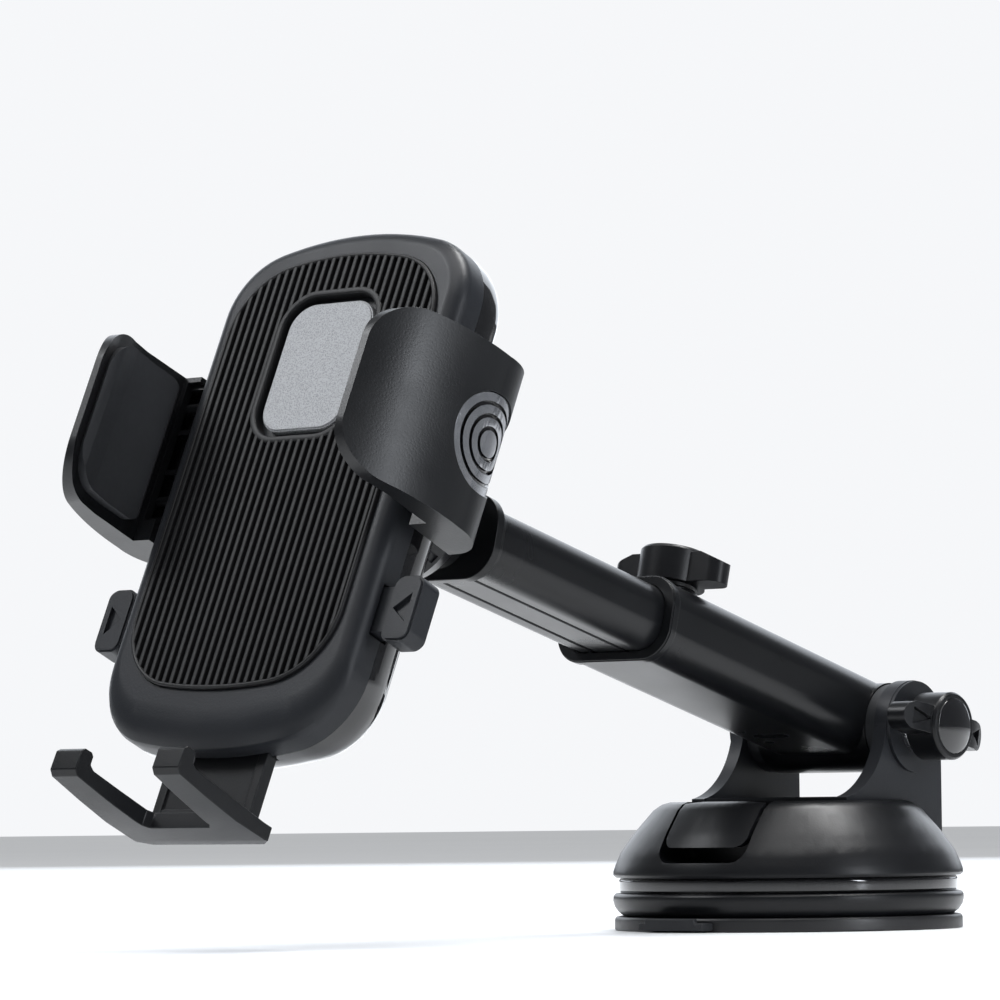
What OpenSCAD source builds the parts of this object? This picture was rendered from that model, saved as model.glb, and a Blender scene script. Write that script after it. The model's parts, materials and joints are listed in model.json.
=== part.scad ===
/* [Suction base] */
// Radius of the adhesive pad
pad_r = 36.9; // [36:0.1:38]
// Height of the flat top of the housing above the mounting surface
base_h = 27; // [26.5:0.1:28]

/* [Yoke and hinge] */
// Height of the arm hinge axis above the mounting surface
hinge_z = 42.5; // [42:0.1:46]
// Distance of the hinge axis behind the centre of the base
hinge_y = 17.8; // [17:0.1:18.5]

/* [Telescopic arm] */
// Angle of the arm above the horizontal in the stored pose
arm_tilt = 15.5; // [5:0.5:40]
// Length of the inner tube that shows in front of the collar
arm_out = 52.3; // [40:0.1:60]

/* [Phone cradle] */
// How far the cradle leans back from the vertical
lean = 25; // [10:1:40]
// Width of the phone that the jaws hold in the stored pose
phone_w = 71.5; // [70:0.1:78]
// Distance of the foot's tray below the middle of the phone's back
foot_drop = 77; // [74:0.5:84]

/* [Hidden] */
$fn = 64;

// Arm: sections are drawn across the arm, s runs from the hinge towards the phone
tube_mid = 1.2;
mouth_s = 78.2;
head_s = mouth_s + arm_out;
head_t = 3;
ball_s = head_s + head_t + 12.5;
ball_r = 8.5;
knob_s = 62.5;

// Cradle: x across, y up along the phone, z towards the viewer, phone's back at z = 0
ball_b = -0.2;
ball_d = -35;
hw = 31;
top = 45.6;
bot = -65.2;
rc = 15;
rt = 75;
rb = 92;
front_z = -0.8;
split_z = -8;
back_z = -19;
jaw_mid = -0.9;
jaw_h = 36.6;
grip = phone_w / 2;
dj = grip - 35.75;

EAR_OUT = 20.6;
EAR_IN = 17.4;
EAR_R = 9.9;
LEVER_TURN = 5.5;

module arm_frame() {
    translate([0, hinge_y, hinge_z]) rotate([90 - arm_tilt, 0, 0]) children();
}
module cradle_frame() {
    arm_frame() translate([0, tube_mid, ball_s]) rotate([arm_tilt - lean, 0, 0])
        translate([0, -ball_b, -ball_d]) children();
}
module rrect(w, h, r) {
    square([w - 2 * r, h], center = true);
    square([w, h - 2 * r], center = true);
    for (sx = [-1, 1]) for (sy = [-1, 1]) translate([sx * (w / 2 - r), sy * (h / 2 - r)]) circle(r);
}
// Block along z with a rounded-rectangle section
module bar(w, h, r, z0, z1) {
    translate([0, 0, z0]) linear_extrude(z1 - z0) rrect(w, h, r);
}
module box(x0, x1, y0, y1, z0, z1) {
    translate([x0, y0, z0]) cube([x1 - x0, y1 - y0, z1 - z0]);
}
module rod(r, z0, z1) {
    translate([0, 0, z0]) cylinder(r = r, h = z1 - z0);
}
// Cylinder along x
module xrod(r, x0, x1) {
    translate([x0, 0, 0]) rotate([0, 90, 0]) cylinder(r = r, h = x1 - x0);
}

// Tall outline with arched top and bottom and tangent corners
module tall(w, t, b, c, ta, ba) {
    cx = w - c;
    ty = t - ta + sqrt(pow(ta - c, 2) - cx * cx);
    by = b + ba - sqrt(pow(ba - c, 2) - cx * cx);
    translate([-w, by]) square([2 * w, ty - by]);
    for (sx = [-1, 1]) {
        translate([sx * cx, ty]) circle(c);
        translate([sx * cx, by]) circle(c);
    }
    kt = 1.15 * ta / (ta - c);
    kb = 1.15 * ba / (ba - c);
    intersection() {
        translate([0, t - ta]) circle(ta, $fn = 160);
        polygon([[-cx, ty], [cx, ty], [kt * cx, t - ta + kt * (ty - t + ta)], [-kt * cx, t - ta + kt * (ty - t + ta)]]);
    }
    intersection() {
        translate([0, b + ba]) circle(ba, $fn = 160);
        polygon([[-cx, by], [cx, by], [kb * cx, b + ba - kb * (b + ba - by)], [-kb * cx, b + ba - kb * (b + ba - by)]]);
    }
}
// Outline of the cradle, drawn in from its edge; low draws the bottom in further than the sides
module body_out(in, low = 1) {
    tall(hw - in, top - in, bot + low * in, rc - in, rt - in, rb - in);
}
// Slab of the cradle's outline with its rim rounded towards z1; r is the rounding, n its bands
module soft_slab(z0, z1, r, n, low) {
    turn = z1 > z0 ? 1 : -1;
    zr = z1 - turn * r;
    hull() {
        translate([0, 0, min(z0, zr)]) linear_extrude(abs(zr - z0)) body_out(0);
        for (i = [1:n]) translate([0, 0, zr + turn * (r * sin(90 * i / n) - 0.02)])
            linear_extrude(0.02) body_out(r * (1 - cos(90 * i / n)), low);
    }
}

// ---- Suction base ----
HOUSE = [[0, base_h], [24.8, base_h], [26.6, base_h - 0.5], [28.4, base_h - 1.7], [32.4, base_h - 6.3],
         [35.5, 16.4], [36.6, 13.8], [37.1, 12.4], [37.1, 11.7], [36.6, 11.15], [0, 11.15]];
module house_solid() {
    rotate_extrude($fn = 128) polygon(HOUSE);
}
module lever_slot(w, low, cut) {
    // outline of the lever seen from the front, its lower corners rounded
    rotate([0, 0, LEVER_TURN]) translate([0, -20, (base_h + 5 + low) / 2]) rotate([90, 0, 0]) linear_extrude(20)
        rrect(2 * w, base_h + 5 - low, cut);
}
module suction_pad() color([0.10, 0.10, 0.11]) {
    rod(pad_r, 0, 2.2);
    translate([0, 0, 2.2]) cylinder(r1 = pad_r, r2 = pad_r - 0.3, h = 0.75);
}
module pull_tab() color([0.09, 0.09, 0.10]) {
    difference() {
        union() {
            intersection() {
                rod(pad_r + 3.6, 0.4, 2);
                rotate([0, 0, -91]) box(pad_r - 6, pad_r + 8, -8.5, 8.5, 0, 3);
            }
            intersection() {
                difference() {
                    rod(pad_r + 3.6, 0.4, 2.9);
                    rod(pad_r + 2.2, 0, 4);
                }
                rotate([0, 0, -91]) box(pad_r - 6, pad_r + 8, -6.5, 6.5, 0, 3);
            }
        }
        rod(pad_r, -1, 4);
    }
}
module cup_ring() color([0.12, 0.12, 0.13]) {
    rotate_extrude($fn = 128) polygon([[31, 2.95], [34.9, 2.95], [36.1, 3.9], [36.9, 5.1], [37.2, 6.3], [37.1, 7.3],
                            [36.6, 7.85], [31, 7.85]]);
}
module membrane() color([0.08, 0.08, 0.08]) {
    rod(30.95, 2.95, 4.6);
}
module neck_ring() color([0.03, 0.03, 0.035]) {
    difference() {
        rotate_extrude($fn = 128) polygon([[0, 7.85], [35.5, 7.85], [35.9, 8.5], [35.9, 10.5], [35.5, 11.15], [0, 11.15]]);
        rod(3.05, 7, 12);
        for (a = [10, 130, 230]) rotate([0, 0, a]) translate([27, 0, 0]) {
            rod(1.45, 7, 12);
            rod(2.9, 7, 9.8);
        }
    }
}
module base_housing() color([0.16, 0.17, 0.18]) {
    difference() {
        house_solid();
        difference() {
            union() {
                rod(33.6, 10, 14.2);
                translate([0, 0, 14.19]) cylinder(r1 = 33.2, r2 = 23.4, h = base_h - 16.7);
            }
            rotate([0, 0, LEVER_TURN]) box(-12.4, 12.4, -40, -18.6, 10, base_h);
            for (a = [10, 130, 230]) rotate([0, 0, a]) translate([27, 0, 0]) rod(3.4, 10, base_h);
        }
        intersection() {
            lever_slot(10.7, 14.3, 3.2);
            rotate([0, 0, LEVER_TURN]) box(-12, 12, -40, -20.3, 13, 40);
        }
        rotate([0, 0, LEVER_TURN]) translate([0, -25.6, 22.6]) xrod(1.25, -12.2, 12.2);
        for (a = [10, 130, 230]) rotate([0, 0, a]) translate([27, 0, 0]) rod(1.45, 10, 19.5);
        for (x = [-19, 19]) for (y = [5, 14]) translate([x, y, 0]) {
            rod(1.3, 20, 30);
            rod(2.3, 10, base_h - 2.5);
        }
        box(-11.5, 11.5, -40, 40, 10, 10.5);
    }
}
module housing_screws() color([0.62, 0.63, 0.65]) {
    for (a = [10, 130, 230]) rotate([0, 0, a]) translate([27, 0, 0]) {
        difference() {
            union() {
                rod(1.45, 8, 19);
                rod(2.75, 8, 9.75);
            }
            rod(1.1, 7, 8.9, $fn = 6);
        }
    }
}
module ear_outline() {
    translate([hinge_y, hinge_z]) circle(EAR_R);
    difference() {
        translate([-6.5, 15]) square([hinge_y + EAR_R + 6.4, hinge_z - 15]);
        translate([-9.4, hinge_z + 2.3]) circle(17.4, $fn = 128);
    }
}
module on_x(x0, x1) {
    translate([x0, 0, 0]) rotate([90, 0, 90]) linear_extrude(x1 - x0) children();
}
module yoke() color([0.2, 0.21, 0.22]) {
    difference() {
        union() {
            for (m = [0, 1]) mirror([m, 0, 0]) {
                on_x(EAR_IN, EAR_OUT) ear_outline();
                translate([0, hinge_y, hinge_z]) xrod(EAR_R - 0.15, EAR_OUT, EAR_OUT + 0.8);
            }
            box(-17.5, 17.5, -6, 14, base_h, base_h + 0.8);
        }
        house_solid();
        translate([0, hinge_y, hinge_z]) xrod(2.5, -30, 30);
        for (x = [-19, 19]) for (y = [5, 14]) translate([x, y, 0]) rod(1.2, 20, base_h + 2.4);
    }
}
module yoke_screws() color([0.62, 0.63, 0.65]) {
    for (x = [-19, 19]) for (y = [5, 14]) translate([x, y, 0]) {
        rod(1.2, base_h - 2.5, base_h + 2.4);
        difference() {
            rod(2.2, base_h - 4.1, base_h - 2.5);
            rod(0.9, base_h - 5, base_h - 3.3, $fn = 6);
        }
    }
}
module hinge_bolt() color([0.68, 0.69, 0.71]) {
    translate([0, hinge_y, hinge_z]) {
        xrod(2.5, -EAR_OUT - 0.8, EAR_OUT + 8.6);
        difference() {
            union() {
                xrod(5.4, -EAR_OUT - 3.2, -EAR_OUT - 0.8);
                intersection() {
                    translate([-EAR_OUT + 3.4, 0, 0]) sphere(9.3);
                    xrod(5.4, -EAR_OUT - 6, -EAR_OUT - 3.2);
                }
            }
            translate([-EAR_OUT - 8, 0, 0]) rotate([0, 90, 0]) cylinder(r = 2.1, h = 5.4, $fn = 6);
        }
    }
}
module hinge_washer() color([0.72, 0.73, 0.75]) {
    translate([0, hinge_y, hinge_z]) difference() {
        xrod(5.6, EAR_OUT + 0.8, EAR_OUT + 1.8);
        xrod(2.5, 0, 30);
    }
}
module friction_rings() color([0.34, 0.35, 0.37]) {
    translate([0, hinge_y, hinge_z]) for (m = [0, 1]) mirror([m, 0, 0]) difference() {
        xrod(9.2, 14.6, EAR_IN);
        xrod(2.5, 10, 20);
    }
}
module lock_lever() color([0.07, 0.07, 0.08]) {
    difference() {
        union() {
            intersection() {
                difference() {
                    house_solid();
                    translate([0, 0, -3.4]) house_solid();
                }
                intersection() {
                    lever_slot(9.9, 17.5, 2.4);
                    rotate([0, 0, LEVER_TURN]) box(-12, 12, -40, -24.2, 13, 40);
                }
            }
            rotate([0, 0, LEVER_TURN]) translate([0, -25.6, 22.6]) for (x = [-8.4, 4.4]) {
                xrod(2.2, x, x + 4);
                box(x, x + 4, -1.4, 0.9, 0, 2.2);
            }
        }
        rotate([0, 0, LEVER_TURN]) translate([0, -25.6, 22.6]) xrod(1.3, -20, 20);
    }
}
module lever_pin() color([0.7, 0.7, 0.72]) {
    rotate([0, 0, LEVER_TURN]) translate([0, -25.6, 22.6]) xrod(1.25, -12, 12);
}
module vacuum_stem() color([0.55, 0.56, 0.58]) {
    rod(3, 6.2, 21);
    rod(8, 6.2, 7.5);
    rod(5.6, 19.4, 21);
}
// Coil of round wire, drawn upright from z = 0
module coil(r, wire, h, turns) {
    linear_extrude(h, twist = -360 * turns, slices = 12 * turns, $fn = 6)
        translate([r, 0]) circle(wire, $fn = 6);
}
module stem_spring() color([0.75, 0.75, 0.77]) {
    translate([0, 0, 11.2]) coil(4.4, 0.5, 8.1, 4);
}

// ---- Wing knobs, drawn upright on their axis ----
module knob_shape() {
    difference() {
        union() {
            rod(5.6, 0, 1);
            rod(7.2, 0.8, 7.6);
            translate([0, 0, 7.6]) cylinder(r1 = 7.2, r2 = 6.7, h = 0.6);
            intersection() {
                translate([0, 0, 0.8]) linear_extrude(7) union() {
                    square([22.4, 6], center = true);
                    for (x = [-11.2, 11.2]) translate([x, 0]) circle(3);
                }
                rotate([90, 0, 0]) linear_extrude(8, center = true)
                    polygon([[-15, 0], [15, 0], [15, 4.9], [9, 7.3], [-9, 7.3], [-15, 4.9]]);
            }
        }
        rod(5.9, 7.4, 9);
        rod(2.56, -1, 6.6);
        for (m = [0, 1]) mirror([m, 0, 0]) translate([10.2, 0, 6.9]) rotate([0, 20, 0])
            linear_extrude(2.6, center = true) polygon([[-2.9, 0], [1.9, 1.8], [1.9, -1.8]]);
    }
}
module knob_cap_shape() {
    intersection() {
        rod(5.85, 7.4, 12);
        translate([0, 0, -6.6]) sphere(16, $fn = 128);
    }
}
module hinge_knob_frame() {
    translate([EAR_OUT + 2.4, hinge_y, hinge_z]) rotate([-11.5, 0, 0]) rotate([90, 0, 90]) children();
}
module hinge_knob() color([0.1, 0.1, 0.11]) {
    hinge_knob_frame() difference() {
        knob_shape();
        rod(4.2, -1, 4, $fn = 6);
    }
}
module hinge_knob_cap() color([0.05, 0.05, 0.06]) {
    hinge_knob_frame() knob_cap_shape();
}
module hinge_knob_insert() color([0.72, 0.6, 0.3]) {
    hinge_knob_frame() difference() {
        rod(4.2, 0.1, 4, $fn = 6);
        rod(2.56, -1, 5);
    }
}
module arm_knob_frame() {
    arm_frame() translate([0, tube_mid + 10.9, knob_s]) rotate([-90, 0, 0]) children();
}
module arm_knob() color([0.1, 0.1, 0.11]) {
    arm_knob_frame() knob_shape();
}
module arm_knob_cap() color([0.05, 0.05, 0.06]) {
    arm_knob_frame() knob_cap_shape();
}
module arm_knob_screw() color([0.7, 0.71, 0.73]) {
    arm_knob_frame() rod(2.5, -1.9, 6.6);
}

// ---- Telescopic arm ----
module outer_tube() color([0.14, 0.14, 0.15]) {
    arm_frame() difference() {
        union() {
            translate([0, tube_mid, 0]) bar(29, 17.2, 6.3, 2, mouth_s - 1.6);
            xrod(9.5, -14.5, 14.5);
            intersection() {
                translate([0, tube_mid, 0]) bar(29, 17.2, 6.3, -9, 2.1);
                xrod(9.5, -14.5, 14.5);
            }
            translate([0, 0, knob_s]) rotate([-90, 0, 0]) cylinder(r = 5.8, h = tube_mid + 10.6);
            translate([0, tube_mid + 8.4, knob_s]) rotate([-90, 0, 0]) cylinder(r1 = 8.4, r2 = 6, h = 1.6);
        }
        translate([0, tube_mid, 0]) bar(25.2, 14.2, 5.6, 12.5, mouth_s + 1);
        xrod(2.55, -20, 20);
        translate([0, tube_mid, knob_s]) rotate([-90, 0, 0]) cylinder(r = 2.6, h = 20);
        translate([0, tube_mid, knob_s]) rotate([-90, 0, 0]) cylinder(r = 4.6, h = 9);
    }
}
module tube_collar() color([0.17, 0.17, 0.18]) {
    arm_frame() translate([0, tube_mid, 0]) difference() {
        union() {
            bar(29.9, 18.1, 6.8, mouth_s - 1.9, mouth_s - 0.4);
            bar(29.4, 17.6, 6.5, mouth_s - 2.4, mouth_s);
        }
        bar(29, 17.2, 6.3, 0, mouth_s - 1.6);
        bar(25.3, 14.3, 5.65, 0, mouth_s + 1);
    }
}
module clamp_shoe() color([0.3, 0.3, 0.32]) {
    arm_frame() translate([0, tube_mid + 7.2, knob_s]) rotate([-90, 0, 0]) cylinder(r = 4.5, h = 1);
}
module inner_tube() color([0.15, 0.15, 0.16]) {
    arm_frame() translate([0, tube_mid, 0]) difference() {
        bar(25, 14, 5.5, mouth_s - 24, head_s);
        bar(21.4, 10.6, 3.8, 0, head_s - 4);
        for (x = [-4.2, 4.2]) box(x - 0.45, x + 0.45, -8, -6.5, mouth_s - 30, head_s - 1);
    }
}
module glide_bush() color([0.45, 0.46, 0.48]) {
    arm_frame() translate([0, tube_mid, 0]) difference() {
        union() {
            bar(25.1, 14.1, 5.55, mouth_s - 27, mouth_s - 24);
            bar(21.3, 10.5, 3.75, mouth_s - 24, mouth_s - 18);
        }
        bar(17.4, 6.8, 2.4, 0, mouth_s);
    }
}
module arm_head() color([0.16, 0.16, 0.17]) {
    arm_frame() translate([0, tube_mid, 0]) {
        bar(26.4, 16.6, 6.4, head_s, head_s + 0.9);
        bar(27.2, 17.6, 6.8, head_s + 0.9, head_s + head_t);
    }
}
module ball_stud() color([0.3, 0.3, 0.32]) {
    arm_frame() translate([0, tube_mid, 0]) union() {
        translate([0, 0, head_s + head_t]) cylinder(r1 = 6.4, r2 = 3.6, h = 2.2);
        rod(3.6, head_s + head_t + 2, ball_s - 6);
        translate([0, 0, ball_s]) sphere(ball_r, $fn = 96);
    }
}

// ---- Ball joint and cradle ----
module ball_frame() {
    cradle_frame() translate([0, ball_b, ball_d]) rotate([180, 0, 0]) children();
}
module ball_liner() color([0.82, 0.82, 0.8]) {
    ball_frame() intersection() {
        difference() {
            sphere(9.9, $fn = 96);
            sphere(8.55, $fn = 96);
        }
        rod(12, -6, 5);
    }
}
module clamp_nut() color([0.13, 0.13, 0.14]) {
    ball_frame() difference() {
        union() {
            rod(14.2, -9, 1.6);
            translate([0, 0, 1.6]) cylinder(r1 = 14.2, r2 = 10.6, h = 4.8);
        }
        rod(12, -10, -0.8);
        sphere(9.95, $fn = 96);
        for (i = [0:17]) rotate([0, 0, i * 20]) translate([14.9, 0, -7.6]) cylinder(r = 1.2, h = 8.4);
    }
}
module socket_boss() color([0.18, 0.18, 0.19]) {
    ball_frame() difference() {
        union() {
            translate([0, 0, ball_d - back_z]) cylinder(r1 = 17.5, r2 = 14.6, h = 6.6);
            rod(11.9, ball_d - back_z, -1.1);
        }
        sphere(9.95, $fn = 96);
        rod(6, ball_d - back_z + 3, 0);
    }
}
module jaw_windows() {
    for (m = [0, 1]) mirror([m, 0, 0]) {
        box(24, 34, -15.4, 16.2, -9.1, -4.5);
        box(24, 34, -41.2, -30.8, -9.5, -4.6);
    }
    box(-12.9, 12.9, bot - 2, bot + 8, -9.7, -6.4);
}
module front_housing() color([0.16, 0.17, 0.18]) {
    cradle_frame() difference() {
        soft_slab(split_z, front_z, 3.4, 5, 2.3);
        translate([0, 0, split_z - 1]) linear_extrude(4.8) body_out(2.2);
        translate([0, 0, -2.4]) linear_extrude(4) tall(26.8, 39.9, -53.8, 15.5, 69, 100);
        jaw_windows();
    }
}
module rear_housing() color([0.04, 0.04, 0.05]) {
    cradle_frame() {
        difference() {
            soft_slab(split_z, back_z, 9, 6, 1);
            translate([0, 0, -12.6]) linear_extrude(8) body_out(2.2);
            translate([0, 0, -16.8]) linear_extrude(8) body_out(6.6);
            jaw_windows();
            for (x = [-19, 19]) for (y = [30, -50]) translate([x, y, 0]) {
                rod(1.3, -30, 0);
                rod(2.4, -30, -17.2);
            }
        }
        for (x = [-19, 19]) for (y = [30, -50]) translate([x, y, 0]) difference() {
            rod(2.9, -16.9, -4.2);
            rod(1.25, -30, 0);
        }
        translate([0, jaw_mid, 0]) difference() {
            rod(2.9, -16.9, -4.4);
            rod(1.2, -14, 0);
        }
        for (m = [0, 1]) mirror([m, 0, 0]) {
            box(17.6, 19, -39.8, -32.2, -16.9, -4.4);
        }
    }
}
module cradle_screws() color([0.62, 0.63, 0.65]) {
    cradle_frame() for (x = [-19, 19]) for (y = [30, -50]) translate([x, y, 0]) {
        rod(1.25, -18.4, -4.6);
        difference() {
            rod(2.35, -18.8, -17.2);
            rod(1, -20, -18, $fn = 6);
        }
    }
}
module ribbed_pad() color([0.07, 0.07, 0.075]) {
    cradle_frame() difference() {
        union() {
            translate([0, 0, -2.4]) linear_extrude(1.5) tall(26.7, 39.8, -53.7, 15.4, 69, 100);
            difference() {
                translate([0, 0, -1]) linear_extrude(1) tall(26.7, 39.8, -53.7, 15.4, 69, 100);
                translate([0, 0, -2]) linear_extrude(4) tall(25.9, 39, -52.9, 14.6, 68.2, 99.2);
            }
            translate([0, 0, -1]) linear_extrude(1) intersection() {
                tall(26, 39.1, -53, 14.7, 68.3, 99.3);
                for (i = [-13:13]) translate([i * 1.94 - 0.55, -60]) square([1.1, 110]);
            }
            translate([0, 15.3, -1]) linear_extrude(1) rrect(26.6, 33.4, 8);
        }
        translate([0, 15.3, -5]) linear_extrude(8) rrect(23.8, 30.4, 6.6);
    }
}
module badge_plate() color([0.8, 0.8, 0.82]) {
    cradle_frame() translate([0, 15.3, 0]) {
        bar(21.6, 28, 5.6, -2.4, -0.9);
        bar(21, 27.4, 5.3, -0.9, -0.6);
    }
}
// Spur gear with straight-flanked stub teeth, drawn at the origin
PIN_N = 12;
PIN_R = 9;
module pinion() color([0.85, 0.85, 0.83]) {
    cradle_frame() translate([0, jaw_mid, -12.4]) difference() {
        union() {
            rod(7.7, 0, 3);
            for (i = [0:PIN_N - 1]) rotate([0, 0, i * 360 / PIN_N + 90]) linear_extrude(3)
                polygon([[7, -1.45], [8.2, -1.2], [9, -0.88], [9.7, -0.5], [9.7, 0.5], [9, 0.88], [8.2, 1.2], [7, 1.45]]);
            rod(4.6, -1.2, 4);
        }
        rod(2.95, -5, 5);
    }
}
module jaw_spring() color([0.75, 0.75, 0.77]) {
    cradle_frame() translate([0, jaw_mid, -16.4]) coil(3.9, 0.35, 2.4, 4);
}
RACK_P = 2 * PI * PIN_R / PIN_N;
// Rack bar above the pinion with its teeth pointing down, x from x0 to x1
module rack(x0, x1) {
    box(x0, x1, PIN_R + 1.6, PIN_R + 5, 0, 3);
    for (i = [-6:6]) {
        xc = (i + 0.5) * RACK_P;
        if (xc - 1.6 > x0 && xc + 1.6 < x1) translate([xc, PIN_R, 0]) linear_extrude(3)
            polygon([[-1.5, 1.7], [-0.86, 0], [-0.58, -0.75], [0.58, -0.75], [0.86, 0], [1.5, 1.7]]);
    }
}

// ---- Jaws, drawn for the right side ----
module jaw_section(in) {
    // outer curve of the jaw seen along the phone, drawn in from its surface
    intersection() {
        translate([0.6 + dj, -4]) circle(43.6 - in, $fn = 160);
        translate([20, -7]) square([60, 40]);
    }
    translate([35.2 + dj, -7]) circle(9 - in);
    translate([10, -16 + in]) square([25.2 + dj, 9.2 - in]);
}
module along_b(b0, b1) {
    // section in x and z, drawn out along the phone
    translate([0, b1, 0]) rotate([90, 0, 0]) linear_extrude(b1 - b0) children();
}
module jaw_face(r, in) {
    // side outline of the jaw, drawn out across the phone; its top edge falls towards the lip
    fd = 22.4 - in - r;
    up = jaw_mid + jaw_h / 2 - 1.2 - in - r;
    lo = jaw_mid - jaw_h / 2 + in;
    fall = 2;
    rotate([0, 90, 0]) linear_extrude(90) {
        polygon([[-fd - r * sin(fall), up + r * cos(fall)], [-fd, up], [-fd - r, up], [-fd - r, lo + r], [-fd, lo + r],
                 [-fd, lo], [40, lo], [40, up + r * cos(fall) + (40 + fd + r * sin(fall)) * tan(fall)]]);
        translate([-fd, up]) circle(r);
        translate([-fd, lo + r]) circle(r);
    }
}
module jaw_inner() {
    polygon([[0, -3.6], [37.9, -3.6], [37.9, 8], [37.2, 12.4], [35.4, 18], [33, 23], [33, 40], [0, 40]]);
}
module jaw_shell(m) {
    cradle_frame() mirror([m, 0, 0]) difference() {
        intersection() {
            along_b(-40, 40) difference() {
                jaw_section(0);
                translate([dj, 0]) jaw_inner();
                translate([dj, 0]) square([33.4, 60], center = true);
                translate([0, -30]) square([33.6 + dj, 60]);
            }
            jaw_face(9.5, 0);
        }
        along_b(jaw_mid - jaw_h / 2 + 2, jaw_mid + jaw_h / 2 - 2) intersection() {
            jaw_section(2.2);
            translate([35.4 + dj, -13.4]) square([10, 8]);
        }
        translate([30, jaw_mid, -7.5]) difference() {
            xrod(10, 0, 30);
            translate([-30, -jaw_mid, 7.5]) along_b(-40, 40) jaw_section(1.5);
        }
        box(30, 36.9 + dj, -14.7, 15.7, -8.6, -3);
    }
}
module jaw_shell_right() color([0.17, 0.18, 0.19]) jaw_shell(0);
module jaw_shell_left() color([0.17, 0.18, 0.19]) jaw_shell(1);
module pad_face(r, q, end) {
    // side outline of the pad: radius r at the tip, q next to the cradle, where it stops at z = end
    fd = 20 - r;
    up = jaw_mid + jaw_h / 2 - 3.6 - r;
    lo = jaw_mid - jaw_h / 2 + 2.4;
    fall = 2;
    xc = -end - q;
    yc = up + (r - q) * cos(fall) + (fd + xc + (r - q) * sin(fall)) * tan(fall);
    rotate([0, 90, 0]) linear_extrude(90) {
        polygon([[-fd - r * sin(fall), up + r * cos(fall)], [-fd, up], [-fd - r, up], [-fd - r, lo + r], [-fd, lo + r],
                 [-fd, lo], [xc, lo], [xc, lo + q], [xc + q, lo + q], [xc + q, yc], [xc, yc],
                 [xc - q * sin(fall), yc + q * cos(fall)]]);
        translate([-fd, up]) circle(r);
        translate([-fd, lo + r]) circle(r);
        translate([xc, lo + q]) circle(q);
        translate([xc, yc]) circle(q);
    }
}
module jaw_pad(m) {
    cradle_frame() mirror([m, 0, 0]) intersection() {
        along_b(-40, 40) translate([dj, 0])
            polygon([[37.9, -1.8], [36.6, -1.8], [35.9, -1], [35.75, 7.6], [34.9, 13], [33.4, 17.8],
                     [33.9, 20.8], [35.4, 18], [37.2, 12.4], [37.9, 8]]);
        pad_face(7.4, 3.4, -1.8);
    }
}
module jaw_pad_right() color([0.2, 0.2, 0.21]) jaw_pad(0);
module jaw_pad_left() color([0.2, 0.2, 0.21]) jaw_pad(1);
module jaw_disc(m) {
    cradle_frame() mirror([m, 0, 0]) difference() {
        intersection() {
            along_b(-40, 40) difference() {
                jaw_section(0.35);
                jaw_section(1.5);
            }
            translate([30, jaw_mid, -7.5]) xrod(9.8, 0, 30);
            box(34, 60, -40, 40, -15.6, 30);
        }
        translate([30, jaw_mid, -7.5]) for (r = [2.6, 5, 7.4]) difference() {
            xrod(r + 0.8, 0, 30);
            xrod(r, -1, 31);
            translate([-30, -jaw_mid, 7.5]) along_b(-40, 40) jaw_section(1);
        }
    }
}
module jaw_disc_right() color([0.75, 0.76, 0.78]) jaw_disc(0);
module jaw_disc_left() color([0.75, 0.76, 0.78]) jaw_disc(1);
// Arms that slide in the cradle, with the rack on the inner side
module jaw_carrier(side) {
    cradle_frame() mirror([side, 0, 0]) {
        box(13, 36.9 + dj, -14.6, 15.6, -8.5, -7.4);
        for (y = [-14.6, 14.6]) box(22, 36.9 + dj, y, y + 1, -8.5, -4.9);
        for (y = [-9.6, 11]) translate([0, y, -6.3]) xrod(1.15, 22, 36.9 + dj);
        for (y = [-4, 4.8]) box(34, 36.9 + dj, y, y + 1.1, -8.5, -5.2);
    }
    cradle_frame() translate([0, jaw_mid, -12.4]) rotate([0, 0, side * 180]) {
        rack(-19, 17.4);
        box(13.4, 17.4, PIN_R + 1.6, PIN_R + 5, 0, 4.2);
    }
}
module jaw_carrier_right() color([0.09, 0.09, 0.1]) jaw_carrier(0);
module jaw_carrier_left() color([0.09, 0.09, 0.1]) jaw_carrier(1);

// ---- Release buttons ----
module button(m) {
    cradle_frame() mirror([m, 0, 0]) difference() {
        union() {
            translate([37.1, -36, 0]) bar(7, 13.4, 2.2, -9.6, -4.9);
            translate([37.1, -36, 0]) bar(6.2, 12.6, 1.8, -10, -4.5);
            box(26, 35, -40.6, -31.4, -9.1, -5);
        }
        translate([0, -36, -7.05]) xrod(1.7, 25, 34);
        translate([36.9, -36, -5.3]) linear_extrude(3) polygon([[-1.9, 0], [1.9, 3], [1.9, -3]]);
    }
}
module button_right() color([0.17, 0.18, 0.19]) button(0);
module button_left() color([0.17, 0.18, 0.19]) button(1);
module button_spring(m) {
    cradle_frame() mirror([m, 0, 0]) translate([19.1, -36, -7.05]) rotate([0, 90, 0]) coil(1.2, 0.25, 9.8, 5);
}
module button_spring_right() color([0.75, 0.75, 0.77]) button_spring(0);
module button_spring_left() color([0.75, 0.75, 0.77]) button_spring(1);

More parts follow.
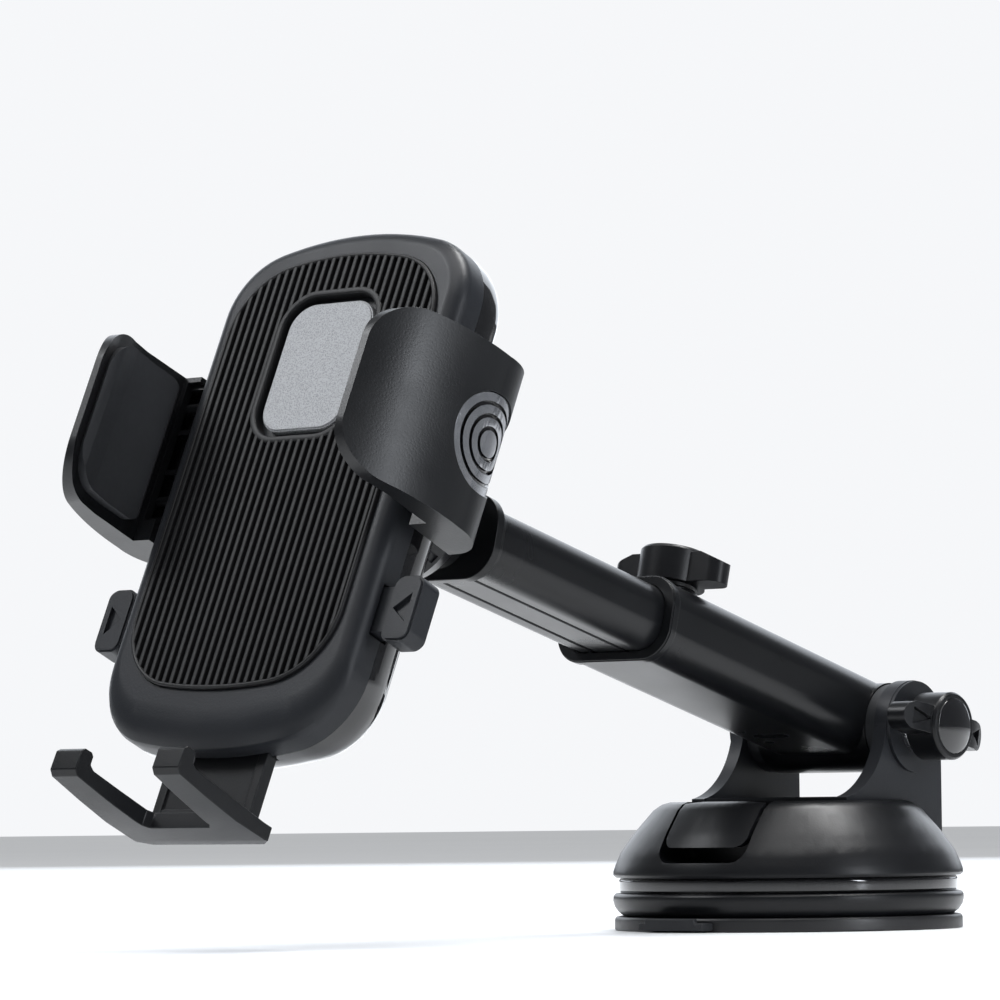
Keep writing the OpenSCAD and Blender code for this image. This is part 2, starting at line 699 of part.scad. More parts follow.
// ---- Foot ----
module foot_side() {
    // section of the tray: x towards the viewer, y up along the phone
    polygon([[-11.4, -foot_drop - 1.2], [-7, -foot_drop - 1.2], [13.2, -foot_drop + 0.2], [14.3, -foot_drop + 0.9],
             [14.3, -foot_drop + 2.6], [14.9, -foot_drop + 3.2], [16.7, -foot_drop + 3.2], [17.5, -foot_drop + 2.4],
             [17.6, -foot_drop - 1.4], [16.6, -foot_drop - 2.4], [8, -foot_drop - 3.4], [0, -foot_drop - 4.1],
             [-8.4, -foot_drop - 4.1], [-11.4, -foot_drop - 3.7]]);
}
module foot() color([0.15, 0.15, 0.16]) {
    cradle_frame() difference() {
        union() {
            intersection() {
                translate([-18, 0, 0]) rotate([0, 90, 0]) mirror([1, 0, 0]) linear_extrude(36) foot_side();
                rotate([90, 0, 0]) linear_extrude(200, center = true)
                    polygon([[-16.4, 20], [-16.9, -9.2], [-14.2, -11.2], [14.2, -11.2], [16.9, -9.2], [16.4, 20]]);
            }
            box(-12.6, 12.6, -foot_drop - 3, -38, -9.4, -7.2);
            for (x = [-12.6, 10.4]) box(x, x + 2.2, -foot_drop - 3, -38, -9.4, -6.7);
            box(-7.6, 7.6, -foot_drop - 3, -foot_drop + 0.4, -9.4, -4.2);
        }
        translate([0, -foot_drop, 0]) rotate([90, 0, 0]) linear_extrude(40, center = true)
            polygon([[-10.4, 30], [-9.2, 6], [-8.6, -1.6], [-7.6, -2.8], [7.6, -2.8], [8.6, -1.6], [9.2, 6], [10.4, 30]]);
    }
}
module foot_cushions() color([0.09, 0.09, 0.1]) {
    cradle_frame() for (m = [0, 1]) mirror([m, 0, 0])
        translate([13.4, -foot_drop + 1.75, 0]) bar(5, 1.6, 0.5, 13.5, 14.3);
}

suction_pad();
pull_tab();
cup_ring();
membrane();
neck_ring();
base_housing();
housing_screws();
yoke();
yoke_screws();
hinge_bolt();
hinge_washer();
friction_rings();
lock_lever();
lever_pin();
vacuum_stem();
stem_spring();
hinge_knob();
hinge_knob_cap();
hinge_knob_insert();
outer_tube();
tube_collar();
clamp_shoe();
arm_knob();
arm_knob_cap();
arm_knob_screw();
inner_tube();
glide_bush();
arm_head();
ball_stud();
ball_liner();
clamp_nut();
socket_boss();
front_housing();
rear_housing();
ribbed_pad();
badge_plate();
cradle_screws();
pinion();
jaw_spring();
jaw_shell_right();
jaw_pad_right();
jaw_disc_right();
jaw_carrier_right();
jaw_shell_left();
jaw_pad_left();
jaw_disc_left();
jaw_carrier_left();
button_right();
button_spring_right();
button_left();
button_spring_left();
foot();
foot_cushions();
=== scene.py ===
"""Looks of a suction-base phone mount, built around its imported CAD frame."""
import json
import math

import bmesh
import bpy
from mathutils import Matrix, Vector


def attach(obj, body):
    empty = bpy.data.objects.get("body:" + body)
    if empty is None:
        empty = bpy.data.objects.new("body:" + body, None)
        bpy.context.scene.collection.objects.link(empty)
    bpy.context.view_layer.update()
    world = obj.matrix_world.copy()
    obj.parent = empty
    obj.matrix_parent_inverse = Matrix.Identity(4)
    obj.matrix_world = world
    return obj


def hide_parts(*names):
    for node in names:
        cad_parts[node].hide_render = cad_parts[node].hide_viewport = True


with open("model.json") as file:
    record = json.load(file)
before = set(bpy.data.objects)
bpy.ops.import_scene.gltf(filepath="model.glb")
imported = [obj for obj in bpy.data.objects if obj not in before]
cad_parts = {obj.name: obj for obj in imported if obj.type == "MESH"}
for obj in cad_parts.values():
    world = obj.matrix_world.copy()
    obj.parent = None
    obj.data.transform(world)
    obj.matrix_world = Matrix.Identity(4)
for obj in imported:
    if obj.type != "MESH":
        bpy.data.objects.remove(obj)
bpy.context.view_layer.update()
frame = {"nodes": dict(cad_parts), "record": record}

MM = 0.001
SLOT_OF = {s["node"]: s["material_slot"] for s in frame["record"]["subparts"]}
BODY_OF = {node: body for body, nodes in frame["record"]["behaviour"]["bodies"].items()
           for node in nodes}


# ---------------------------------------------------------------- materials
class Nodes:
    """A small writer for node trees."""

    def __init__(self, name):
        self.mat = bpy.data.materials.new(name)
        self.mat.use_nodes = True
        self.tree = self.mat.node_tree
        self.shader = self.tree.nodes["Principled BSDF"]
        self.coords = self.tree.nodes.new("ShaderNodeTexCoord").outputs["Object"]

    def add(self, kind, **settings):
        node = self.tree.nodes.new(kind)
        for key, value in settings.items():
            setattr(node, key, value)
        return node

    def link(self, a, b):
        self.tree.links.new(a, b)

    def noise(self, scale, detail=3.0, rough=0.55, stretch=None):
        node = self.add("ShaderNodeTexNoise")
        node.inputs["Scale"].default_value = scale
        node.inputs["Detail"].default_value = detail
        node.inputs["Roughness"].default_value = rough
        source = self.coords
        if stretch:
            mapping = self.add("ShaderNodeMapping")
            mapping.inputs["Scale"].default_value = stretch
            self.link(source, mapping.inputs["Vector"])
            source = mapping.outputs["Vector"]
        self.link(source, node.inputs["Vector"])
        return node.outputs["Fac"]

    def cells(self, scale, feature="F1"):
        node = self.add("ShaderNodeTexVoronoi", feature=feature)
        node.inputs["Scale"].default_value = scale
        self.link(self.coords, node.inputs["Vector"])
        return node.outputs["Distance"]

    def remap(self, value, lo, hi, start=0.0, end=1.0):
        node = self.add("ShaderNodeMapRange")
        node.inputs["From Min"].default_value = start
        node.inputs["From Max"].default_value = end
        node.inputs["To Min"].default_value = lo
        node.inputs["To Max"].default_value = hi
        self.link(value, node.inputs["Value"])
        return node.outputs["Result"]

    def ramp(self, value, stops):
        node = self.add("ShaderNodeValToRGB")
        band = node.color_ramp
        while len(band.elements) < len(stops):
            band.elements.new(0.5)
        for element, (place, colour) in zip(band.elements, stops):
            element.position = place
            element.color = (*colour, 1.0)
        self.link(value, node.inputs["Fac"])
        return node.outputs["Color"]

    def math(self, kind, a, b):
        node = self.add("ShaderNodeMath", operation=kind)
        for socket, value in zip(node.inputs, (a, b)):
            if isinstance(value, (int, float)):
                socket.default_value = value
            else:
                self.link(value, socket)
        return node.outputs["Value"]

    def bump(self, height, distance, strength=1.0, under=None):
        node = self.add("ShaderNodeBump")
        node.inputs["Strength"].default_value = strength
        node.inputs["Distance"].default_value = distance
        self.link(height, node.inputs["Height"])
        if under:
            self.link(under, node.inputs["Normal"])
        return node.outputs["Normal"]

    def set(self, **sockets):
        for name, value in sockets.items():
            self.shader.inputs[name.replace("_", " ")].default_value = value

    def finish(self, colour, roughness, normal):
        self.link(colour, self.shader.inputs["Base Color"])
        self.link(roughness, self.shader.inputs["Roughness"])
        self.link(normal, self.shader.inputs["Normal"])
        return self.mat


def dark_plastic(name, low, high, rough_low, rough_high, grain, grain_depth):
    """Moulded plastic with a spark-eroded grain, faint flow marks and handling smears."""
    n = Nodes(name)
    flow = n.noise(26, 2, 0.5)
    colour = n.ramp(flow, [(0.3, low), (0.75, high)])
    smear = n.noise(45, 3, 0.5, stretch=(1, 1.8, 0.8))
    rough = n.remap(smear, rough_low, rough_high, 0.3, 0.72)
    fine = n.bump(n.noise(grain, 3, 0.62), grain_depth, 0.9)
    normal = n.bump(n.noise(grain * 0.3, 2, 0.5), grain_depth, 0.2, fine)
    n.set(Specular_IOR_Level=0.28)
    return n.finish(colour, rough, normal)


def satin_black():
    return dark_plastic("satin_black", (0.0050, 0.0053, 0.0062), (0.0085, 0.0090, 0.0105),
                        rough_low=0.28, rough_high=0.38, grain=2400, grain_depth=0.00002)


def tube_black():
    return dark_plastic("tube_black", (0.0040, 0.0043, 0.0051), (0.0068, 0.0073, 0.0085),
                        rough_low=0.27, rough_high=0.31, grain=2800, grain_depth=0.000006)


def charcoal_face():
    return dark_plastic("charcoal_face", (0.0135, 0.0147, 0.0175), (0.020, 0.0218, 0.0258),
                        rough_low=0.36, rough_high=0.46, grain=2200, grain_depth=0.00003)


def jaw_skin():
    """Soft-touch lacquer over a fine leather-like grain."""
    n = Nodes("jaw_skin")
    flow = n.noise(22, 2, 0.5)
    colour = n.ramp(flow, [(0.3, (0.0062, 0.0066, 0.0076)), (0.8, (0.0105, 0.0112, 0.0128))])
    pores = n.remap(n.cells(2300, "SMOOTH_F1"), 0, 1, 0.05, 0.5)
    grain = n.bump(pores, 0.00002, 0.4)
    normal = n.bump(n.noise(2600, 2, 0.5), 0.00001, 0.3, grain)
    rough = n.remap(n.noise(60, 3, 0.5), 0.30, 0.37, 0.3, 0.7)
    n.set(Specular_IOR_Level=0.42)
    return n.finish(colour, rough, normal)


def gloss_black():
    """Polished black shell with hairline scratches and a few dust specks."""
    n = Nodes("gloss_black")
    dust = n.noise(900, 3, 0.7)
    colour = n.ramp(dust, [(0.55, (0.006, 0.006, 0.007)), (0.9, (0.016, 0.016, 0.018))])
    hair = n.noise(140, 4, 0.7, stretch=(1, 14, 1))
    rough = n.remap(hair, 0.035, 0.11, 0.35, 0.75)
    n.set(Specular_IOR_Level=0.55, Coat_Weight=0.5, Coat_Roughness=0.04)
    return n.finish(colour, rough, n.bump(n.noise(18, 2, 0.4), 0.0001, 0.06))


def ribbed_grip():
    """Matte moulded rubber, a little paler where it has been rubbed."""
    n = Nodes("ribbed_grip")
    worn = n.noise(38, 4, 0.65)
    colour = n.ramp(worn, [(0.35, (0.0048, 0.0049, 0.0055)), (0.8, (0.0095, 0.0097, 0.0108))])
    rough = n.remap(n.noise(1200, 2, 0.6), 0.40, 0.52)
    n.set(Specular_IOR_Level=0.34)
    return n.finish(colour, rough, n.bump(n.noise(3000, 2, 0.6), 0.00002, 0.6))


def soft_grip():
    """Matte rubber of the inner pads and the pull tab."""
    n = Nodes("soft_grip")
    worn = n.noise(60, 3, 0.6)
    colour = n.ramp(worn, [(0.3, (0.017, 0.018, 0.021)), (0.8, (0.025, 0.0265, 0.030))])
    rough = n.remap(n.noise(800, 3, 0.6), 0.5, 0.66)
    n.set(Specular_IOR_Level=0.4)
    return n.finish(colour, rough, n.bump(n.noise(2000, 3, 0.65), 0.00003, 0.7))


def suction_gel():
    """Dark tacky gel of the suction pad, unevenly glossy."""
    n = Nodes("suction_gel")
    tone = n.noise(70, 3, 0.6)
    colour = n.ramp(tone, [(0.3, (0.012, 0.012, 0.013)), (0.8, (0.020, 0.020, 0.022))])
    rough = n.remap(n.noise(240, 4, 0.6), 0.28, 0.46)
    n.set(Specular_IOR_Level=0.5)
    return n.finish(colour, rough, n.bump(n.noise(600, 3, 0.6), 0.00002, 0.5))


def badge_silver():
    """Bead-blasted silver lacquer with coarse metallic sparkle."""
    n = Nodes("badge_silver")
    flake = n.cells(3400)
    grain = n.noise(2600, 3, 0.75)
    sparkle = n.math("ADD", n.math("MULTIPLY", flake, 0.5), n.math("MULTIPLY", grain, 0.6))
    colour = n.ramp(sparkle, [(0.3, (0.20, 0.205, 0.213)), (0.62, (0.42, 0.43, 0.445))])
    rough = n.remap(grain, 0.5, 0.68, 0.3, 0.7)
    n.set(Metallic=0.3, Specular_IOR_Level=0.4)
    return n.finish(colour, rough, n.bump(grain, 0.00004, 0.9))


def bright_trim():
    """Dark chrome with faint polishing marks."""
    n = Nodes("bright_trim")
    haze = n.noise(60, 3, 0.6)
    colour = n.ramp(haze, [(0.3, (0.52, 0.53, 0.56)), (0.8, (0.68, 0.69, 0.72))])
    rough = n.remap(n.noise(400, 4, 0.7), 0.2, 0.3)
    n.set(Metallic=1.0)
    return n.finish(colour, rough, n.bump(n.noise(900, 2, 0.5), 0.00001, 0.3))


def metal(name, low, high, rough_low, rough_high):
    """Plain hardware metal with drawn tone streaks."""
    n = Nodes(name)
    colour = n.ramp(n.noise(500, 3, 0.6, stretch=(1, 1, 6)), [(0.3, low), (0.7, high)])
    rough = n.remap(n.noise(900, 4, 0.7), rough_low, rough_high)
    n.set(Metallic=1.0)
    return n.finish(colour, rough, n.bump(n.noise(1400, 2, 0.6), 0.00001, 0.5))


def nylon_white():
    """Natural nylon, slightly translucent."""
    n = Nodes("nylon_white")
    colour = n.ramp(n.noise(90, 3, 0.6), [(0.3, (0.62, 0.61, 0.57)), (0.8, (0.72, 0.71, 0.67))])
    rough = n.remap(n.noise(700, 3, 0.6), 0.35, 0.5)
    n.set(Subsurface_Weight=0.05)
    return n.finish(colour, rough, n.bump(n.noise(1500, 2, 0.6), 0.00002, 0.5))


MATERIALS = {
    "satin_black": satin_black(), "tube_black": tube_black(), "charcoal_face": charcoal_face(),
    "jaw_skin": jaw_skin(), "gloss_black": gloss_black(), "ribbed_grip": ribbed_grip(),
    "soft_grip": soft_grip(), "suction_gel": suction_gel(), "badge_silver": badge_silver(),
    "bright_trim": bright_trim(), "nylon_white": nylon_white(),
    "zinc_steel": metal("zinc_steel", (0.42, 0.43, 0.45), (0.60, 0.61, 0.63), 0.2, 0.36),
    "spring_steel": metal("spring_steel", (0.34, 0.34, 0.36), (0.5, 0.5, 0.52), 0.22, 0.4),
    "brass_insert": metal("brass_insert", (0.50, 0.36, 0.13), (0.68, 0.50, 0.20), 0.2, 0.35),
}
# Nodes whose finish differs from their slot's usual one.
FINISH = {
    "outer_tube": "tube_black", "inner_tube": "tube_black", "arm_head": "tube_black",
    "front_housing": "charcoal_face", "jaw_shell_right": "jaw_skin", "jaw_shell_left": "jaw_skin",
    "button_right": "charcoal_face", "button_left": "charcoal_face", "tube_collar": "tube_black",
    "yoke": "charcoal_face", "lock_lever": "satin_black", "pull_tab": "soft_grip",
}


# ---------------------------------------------------------------- pieces
WELD = 0.002 * MM
SHORTEST_EDGE = 0.003 * MM
FLAT_ANGLE = math.radians(0.4)
BEVEL_ANGLE = math.radians(28)
BEVEL_SEGMENTS = 3
SKIN_SHARP_DEG = 32
FACE_WEIGHT = 60


def finish_of(node):
    return MATERIALS[FINISH.get(node, SLOT_OF[node])]


def paint(obj, material):
    obj.data.materials.clear()
    obj.data.materials.append(material)


def place(obj, node):
    """Puts a new piece in the CAD node's stead: same body, painted with the node's finish."""
    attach(obj, BODY_OF[node])
    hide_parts(node)
    paint(obj, finish_of(node))


def clean_copy(node, name):
    """The node's solid as welded, planar-dissolved mesh in a new object."""
    source = frame["nodes"][node]
    mesh = bpy.data.meshes.new(name)
    bm = bmesh.new()
    bm.from_mesh(source.data)
    bm.transform(source.matrix_world)
    bmesh.ops.remove_doubles(bm, verts=bm.verts, dist=WELD)
    bmesh.ops.dissolve_degenerate(bm, edges=bm.edges, dist=SHORTEST_EDGE)
    bmesh.ops.dissolve_limit(bm, angle_limit=FLAT_ANGLE, verts=bm.verts, edges=bm.edges)
    bm.to_mesh(mesh)
    bm.free()
    for extra in ("custom_normal", "sharp_edge", "sharp_face"):
        if extra in mesh.attributes:
            mesh.attributes.remove(mesh.attributes[extra])
    obj = bpy.data.objects.new(name, mesh)
    bpy.context.scene.collection.objects.link(obj)
    return obj


def bake(obj):
    """Applies the object's modifiers."""
    graph = bpy.context.evaluated_depsgraph_get()
    mesh = bpy.data.meshes.new_from_object(obj.evaluated_get(graph))
    obj.modifiers.clear()
    obj.data = mesh


def shade(obj, sharp_deg):
    """Smooth shading that keeps edges over sharp_deg sharp."""
    for face in obj.data.polygons:
        face.use_smooth = True
    obj.data.set_sharp_from_angle(angle=math.radians(sharp_deg))
    weigh = obj.modifiers.new("weigh", "WEIGHTED_NORMAL")
    weigh.keep_sharp = True
    weigh.weight = FACE_WEIGHT


def soften(node, width):
    """The node's solid with its moulded edges rounded by width (mm)."""
    obj = clean_copy(node, node + "_skin")
    bevel = obj.modifiers.new("edges", "BEVEL")
    bevel.width = width * MM
    bevel.segments = BEVEL_SEGMENTS
    bevel.limit_method = "ANGLE"
    bevel.angle_limit = BEVEL_ANGLE
    bevel.use_clamp_overlap = True
    bevel.miter_outer = "MITER_ARC"
    bake(obj)
    shade(obj, SKIN_SHARP_DEG)
    place(obj, node)
    return obj


# Edge radius of each node that gets a rounded skin, in mm.
ROUNDING = {
    "suction_pad": 0.35, "pull_tab": 0.3, "cup_ring": 0.25, "neck_ring": 0.2, "base_housing": 0.35,
    "yoke": 0.45, "hinge_bolt": 0.2, "hinge_washer": 0.15, "lock_lever": 0.4,
    "hinge_knob": 0.35, "hinge_knob_cap": 0.15, "arm_knob": 0.35, "arm_knob_cap": 0.15,
    "outer_tube": 0.3, "tube_collar": 0.35, "inner_tube": 0.3, "arm_head": 0.5,
    "clamp_nut": 0.3, "socket_boss": 0.4, "front_housing": 0.3, "rear_housing": 0.3,
    "badge_plate": 0.15, "jaw_shell_right": 0.55, "jaw_shell_left": 0.55,
    "jaw_pad_right": 0.5, "jaw_pad_left": 0.5, "jaw_disc_right": 0.1, "jaw_disc_left": 0.1,
    "jaw_carrier_right": 0.2, "jaw_carrier_left": 0.2, "button_right": 0.3, "button_left": 0.3,
    "foot": 0.6, "foot_cushions": 0.2,
}


# ---------------------------------------------------------------- jaw disc
# The disc's centre as (y, z) and the radii of its grooves, in the cradle's frame (mm).
DISC_AXIS = (-0.9, -7.5)
GROOVES = ((2.6, 3.4), (5.0, 5.8), (7.4, 8.2))
GROOVE_MARGIN = 0.02


def ink_grooves(disc):
    """Blackens the sunk rings of a jaw's disc."""
    disc.data.materials.append(MATERIALS["gloss_black"])
    to_cradle = cradle_matrix().inverted()
    for face in disc.data.polygons:
        spot = to_cradle @ face.center
        r = math.hypot(spot.y - DISC_AXIS[0], spot.z - DISC_AXIS[1])
        if any(low - GROOVE_MARGIN < r < high + GROOVE_MARGIN for low, high in GROOVES):
            face.material_index = 1


# ---------------------------------------------------------------- ribbed pad
# All in mm, in the cradle's frame; z = 0 is the pad's front.
PAD_HALF_W = 26.7
PAD_TOP = 39.8
PAD_BOTTOM = -53.7
PAD_CORNER_R = 15.4
PAD_TOP_R = 69
PAD_BOTTOM_R = 100
PAD_STEPS = 72

RIB_PITCH = 1.94
RIB_COUNT = 27
RIB_HALF_W = 0.6
RIB_INSET = 0.7
RIB_PROFILE = [(-RIB_HALF_W, -1.0), (-0.56, -0.34), (-0.44, -0.1), (-0.22, 0),
               (0.22, 0), (0.44, -0.1), (0.56, -0.34), (RIB_HALF_W, -1.0)]

# The opening round the badge: the centres of its corner arcs and their radius.
BADGE_Y = 15.3
BADGE_ARC_X = 5.3
BADGE_ARC_Y = 8.7
BADGE_ARC_R = 8
BADGE_STEPS = 10
BADGE_OVERLAP = 0.4

# Cross-sections as (inset, z): the pad's border, and the rim round the badge.
BORDER = [(0, -2.35), (0, -0.35), (0.08, -0.12), (0.26, 0), (0.56, 0),
          (0.74, -0.1), (0.84, -0.3), (0.86, -0.92)]
RIM = [(0, -0.92), (0.02, -0.3), (0.12, -0.1), (0.32, 0), (1.0, 0),
       (1.22, -0.1), (1.36, -0.3), (1.4, -2.35)]
PAD_SHARP_DEG = 38
# The pad's middle lies this far up the phone from the record's phone_rest mount.
REST_TO_MIDDLE = 20


def cradle_matrix():
    """Frame of the cradle: x across, y up along the phone, z towards the viewer."""
    rest = next(m for m in frame["record"]["mounts"] if m["name"] == "phone_rest")
    out = Vector(rest["axis"])
    along = out.cross(Vector((1, 0, 0)))
    origin = Vector(rest["pos_m"]) + REST_TO_MIDDLE * MM * along
    turn = Matrix(((1, 0, 0), along, out)).transposed().to_4x4()
    return Matrix.Translation(origin) @ turn @ Matrix.Scale(MM, 4)


class Tall:
    """Upright outline with arched top and bottom and tangent corners, drawn in by inset."""

    def __init__(self, inset):
        self.half_w = PAD_HALF_W - inset
        self.top_y = PAD_TOP - inset
        self.bottom_y = PAD_BOTTOM + inset
        self.corner_r = PAD_CORNER_R - inset
        self.top_r = PAD_TOP_R - inset
        self.bottom_r = PAD_BOTTOM_R - inset
        self.corner_x = self.half_w - self.corner_r
        self.upper_y = self.top_y - self.top_r + self.reach(self.top_r)
        self.lower_y = self.bottom_y + self.bottom_r - self.reach(self.bottom_r)

    def reach(self, arch_r):
        """Height of a corner's centre over the centre of the arch that it touches."""
        return math.sqrt((arch_r - self.corner_r) ** 2 - self.corner_x ** 2)

    def on_arch(self, x, arch_r):
        return x < self.corner_x * arch_r / (arch_r - self.corner_r)

    def corner(self, x):
        return math.sqrt(max(0, self.corner_r ** 2 - (x - self.corner_x) ** 2))

    def top(self, x):
        x = abs(x)
        if self.on_arch(x, self.top_r):
            return self.top_y - self.top_r + math.sqrt(self.top_r ** 2 - x * x)
        return self.upper_y + self.corner(x)

    def bottom(self, x):
        x = abs(x)
        if self.on_arch(x, self.bottom_r):
            return self.bottom_y + self.bottom_r - math.sqrt(self.bottom_r ** 2 - x * x)
        return self.lower_y - self.corner(x)

    def loop(self):
        across = [self.half_w * math.cos(math.pi * i / PAD_STEPS) for i in range(PAD_STEPS + 1)]
        upper = [(x, self.top(x)) for x in across]
        lower = [(x, self.bottom(x)) for x in reversed(across)]
        return upper + lower


def badge_rim(x):
    """Half height of the rim round the badge at x, or None beside it."""
    x = abs(x)
    if x >= BADGE_ARC_X + BADGE_ARC_R:
        return None
    if x <= BADGE_ARC_X:
        return BADGE_ARC_Y + BADGE_ARC_R
    return BADGE_ARC_Y + math.sqrt(BADGE_ARC_R ** 2 - (x - BADGE_ARC_X) ** 2)


def rim_loop(inset):
    """Rounded rectangle round the badge, drawn in by inset."""
    r = BADGE_ARC_R - inset
    points = []
    for sx, sy, start in ((1, 1, 0), (-1, 1, 90), (-1, -1, 180), (1, -1, 270)):
        for i in range(BADGE_STEPS + 1):
            a = math.radians(start + 90 * i / BADGE_STEPS)
            points.append((sx * BADGE_ARC_X + r * math.cos(a),
                           BADGE_Y + sy * BADGE_ARC_Y + r * math.sin(a)))
    return points


def skin_loops(bm, loops):
    """Closed strips between outlines of equal length, each a list of points with its height."""
    rings = [[bm.verts.new((x, y, z)) for x, y in points] for points, z in loops]
    for a, b in zip(rings, rings[1:]):
        for i in range(len(a)):
            j = (i + 1) % len(a)
            bm.faces.new((a[i], a[j], b[j], b[i]))
    return rings


def rib(bm, x, y0, y1):
    """Half-round rib between two heights given as functions of x."""
    low = [bm.verts.new((x + dx, y0(x + dx), z)) for dx, z in RIB_PROFILE]
    high = [bm.verts.new((x + dx, y1(x + dx), z)) for dx, z in RIB_PROFILE]
    for i in range(len(RIB_PROFILE)):
        j = (i + 1) % len(RIB_PROFILE)
        bm.faces.new((low[i], low[j], high[j], high[i]))
    bm.faces.new(low)
    bm.faces.new(list(reversed(high)))


def build_ribbed_pad():
    """The ribbed pad as one closed skin with its border, the badge's rim and the ribs."""
    bm = bmesh.new()
    border = skin_loops(bm, [(Tall(inset).loop(), z) for inset, z in BORDER])
    rim = skin_loops(bm, [(rim_loop(inset), z) for inset, z in RIM])
    for a, b in ((border[-1], rim[0]), (border[0], rim[-1])):
        ends = [e for ring in (a, b) for v in ring for e in v.link_edges if e.other_vert(v) in ring]
        bmesh.ops.triangle_fill(bm, use_beauty=True, use_dissolve=False, edges=list(set(ends)))
    bmesh.ops.remove_doubles(bm, verts=bm.verts, dist=0.001)
    field = Tall(RIB_INSET)
    for i in range(RIB_COUNT):
        x = (i - RIB_COUNT // 2) * RIB_PITCH
        if badge_rim(x - RIB_HALF_W) is None or badge_rim(x + RIB_HALF_W) is None:
            rib(bm, x, field.bottom, field.top)
        else:
            rib(bm, x, field.bottom, lambda v: BADGE_Y + BADGE_OVERLAP - badge_rim(v))
            rib(bm, x, lambda v: BADGE_Y - BADGE_OVERLAP + badge_rim(v), field.top)
    bmesh.ops.recalc_face_normals(bm, faces=bm.faces)
    bm.transform(cradle_matrix())
    mesh = bpy.data.meshes.new("ribbed_pad_skin")
    bm.to_mesh(mesh)
    bm.free()
    obj = bpy.data.objects.new("ribbed_pad_skin", mesh)
    bpy.context.scene.collection.objects.link(obj)
    shade(obj, PAD_SHARP_DEG)
    place(obj, "ribbed_pad")


OWN_MESH = {"ribbed_pad": build_ribbed_pad}


def build_pieces():
    for node, width in ROUNDING.items():
        piece = soften(node, width)
        if node.startswith("jaw_disc"):
            ink_grooves(piece)
    for build in OWN_MESH.values():
        build()
    for node, obj in frame["nodes"].items():
        if node not in ROUNDING and node not in OWN_MESH:
            paint(obj, finish_of(node))


# ---------------------------------------------------------------- stage
# Metres, watts and linear colours.
FLOOR_RADIUS = 6.0
FLOOR_SEGMENTS = 96
AMBIENT = (0.90, 0.94, 1.0, 1.0)
AMBIENT_STRENGTH = 0.16
BACKDROP = (0.97, 0.98, 1.0, 1.0)
BACKDROP_STRENGTH = 0.95
SUN_ENERGY = 1.7
SUN_SPREAD_DEG = 50
SUN_TILT_DEG = 12
AIM = (0, -0.07, 0.07)
COOL = (0.90, 0.94, 1.0)

LENS_MM = 185.83
SENSOR_MM = 36
CAMERA_AT = (0.6658, -0.8775, 0.0251)
HEADING_DEG = 40.33
PITCH_DEG = 3.47
ROLL_DEG = -0.60


def soft_light(name, where, aim, width, height, power, tint=(1, 1, 1)):
    data = bpy.data.lights.new(name, "AREA")
    data.shape = "RECTANGLE"
    data.size = width
    data.size_y = height
    data.energy = power
    data.color = tint
    obj = bpy.data.objects.new(name, data)
    obj.location = where
    obj.rotation_euler = (Vector(aim) - Vector(where)).to_track_quat("-Z", "Y").to_euler()
    obj.visible_camera = False
    bpy.context.scene.collection.objects.link(obj)


def build_floor():
    n = Nodes("studio_floor")
    colour = n.ramp(n.noise(3, 2, 0.5), [(0.3, (0.83, 0.84, 0.85)), (0.8, (0.86, 0.87, 0.88))])
    rough = n.remap(n.noise(40, 3, 0.6), 0.42, 0.5)
    material = n.finish(colour, rough, n.bump(n.noise(500, 2, 0.5), 0.00005, 0.3))
    mesh = bpy.data.meshes.new("studio_floor")
    bm = bmesh.new()
    bmesh.ops.create_circle(bm, cap_ends=True, radius=FLOOR_RADIUS, segments=FLOOR_SEGMENTS)
    bm.to_mesh(mesh)
    bm.free()
    floor = bpy.data.objects.new("studio_floor", mesh)
    bpy.context.scene.collection.objects.link(floor)
    paint(floor, material)


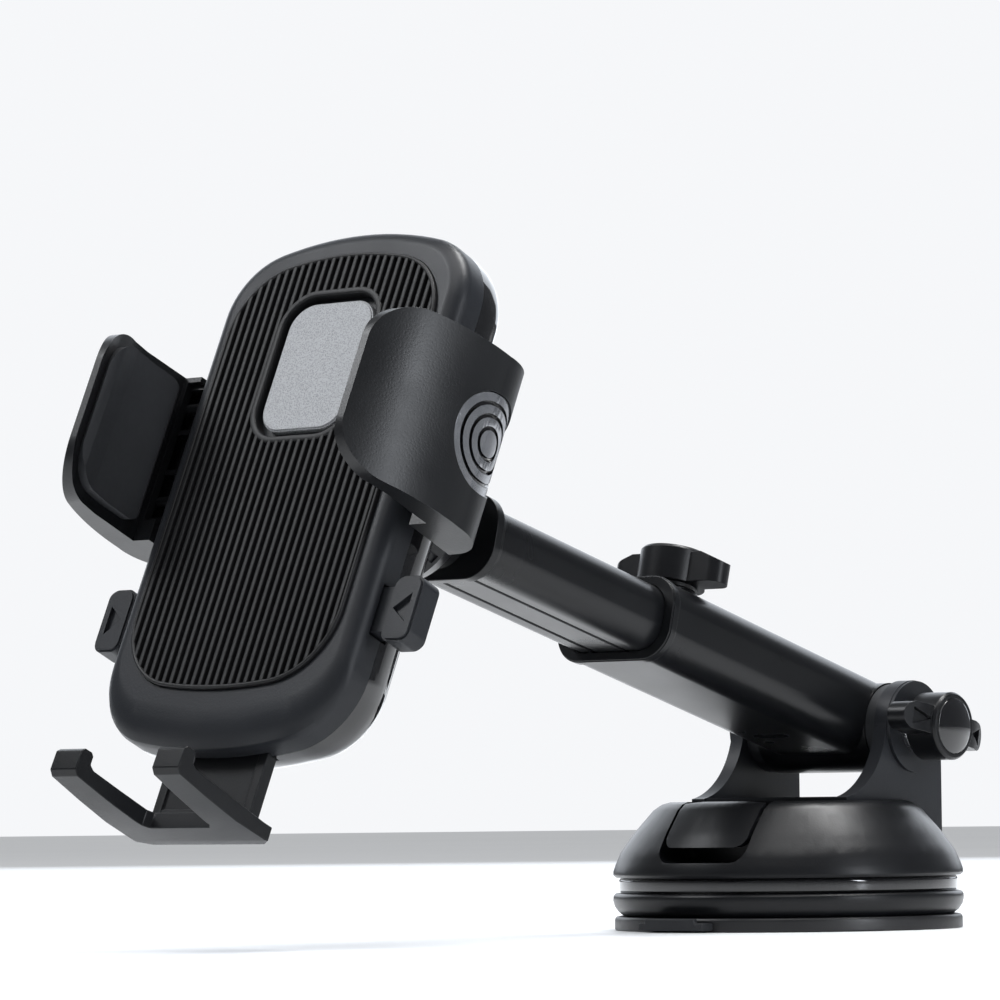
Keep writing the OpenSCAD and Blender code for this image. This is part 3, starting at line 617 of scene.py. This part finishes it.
def build_world():
    """A dim ambient light that the camera sees as a bright backdrop."""
    world = bpy.data.worlds.new("studio")
    world.use_nodes = True
    tree = world.node_tree
    dim = tree.nodes["Background"]
    dim.inputs["Color"].default_value = AMBIENT
    dim.inputs["Strength"].default_value = AMBIENT_STRENGTH
    bright = tree.nodes.new("ShaderNodeBackground")
    bright.inputs["Color"].default_value = BACKDROP
    bright.inputs["Strength"].default_value = BACKDROP_STRENGTH
    seen = tree.nodes.new("ShaderNodeLightPath")
    mix = tree.nodes.new("ShaderNodeMixShader")
    tree.links.new(seen.outputs["Is Camera Ray"], mix.inputs[0])
    tree.links.new(dim.outputs[0], mix.inputs[1])
    tree.links.new(bright.outputs[0], mix.inputs[2])
    tree.links.new(mix.outputs[0], tree.nodes["World Output"].inputs["Surface"])
    bpy.context.scene.world = world
    bpy.context.scene.view_settings.view_transform = "Standard"


def build_lights():
    sun = bpy.data.lights.new("sky_panel", "SUN")
    sun.energy = SUN_ENERGY
    sun.angle = math.radians(SUN_SPREAD_DEG)
    lamp = bpy.data.objects.new("sky_panel", sun)
    lamp.rotation_euler = (math.radians(SUN_TILT_DEG), 0, 0)
    bpy.context.scene.collection.objects.link(lamp)
    soft_light("key", (-0.55, -0.55, 0.85), AIM, 0.35, 0.35, 4, (0.95, 0.97, 1.0))
    soft_light("top", (0.15, 0.25, 0.9), AIM, 0.6, 0.2, 7)
    soft_light("side", (0.95, -0.05, 0.30), AIM, 0.10, 0.5, 3, COOL)
    soft_light("behind", (-0.90, 1.0, 0.62), AIM, 2.4, 1.0, 13, (0.88, 0.93, 1.0))


def build_camera():
    """Low, from the right, looking slightly up."""
    data = bpy.data.cameras.new("view")
    data.sensor_width = SENSOR_MM
    data.lens = LENS_MM
    data.clip_start = 0.01
    heading = math.radians(HEADING_DEG)
    pitch = math.radians(PITCH_DEG)
    roll = math.radians(ROLL_DEG)
    ahead = Vector((-math.sin(heading) * math.cos(pitch),
                    math.cos(heading) * math.cos(pitch),
                    math.sin(pitch)))
    right = Vector((math.cos(heading), math.sin(heading), 0))
    up = right.cross(ahead)
    tilt_right = right * math.cos(roll) + up * math.sin(roll)
    tilt_up = tilt_right.cross(ahead)
    turn = Matrix((tilt_right, tilt_up, -ahead)).transposed()
    camera = bpy.data.objects.new("view", data)
    camera.matrix_world = Matrix.Translation(CAMERA_AT) @ turn.to_4x4()
    bpy.context.scene.collection.objects.link(camera)
    bpy.context.scene.camera = camera


build_pieces()
build_floor()
build_world()
build_lights()
build_camera()
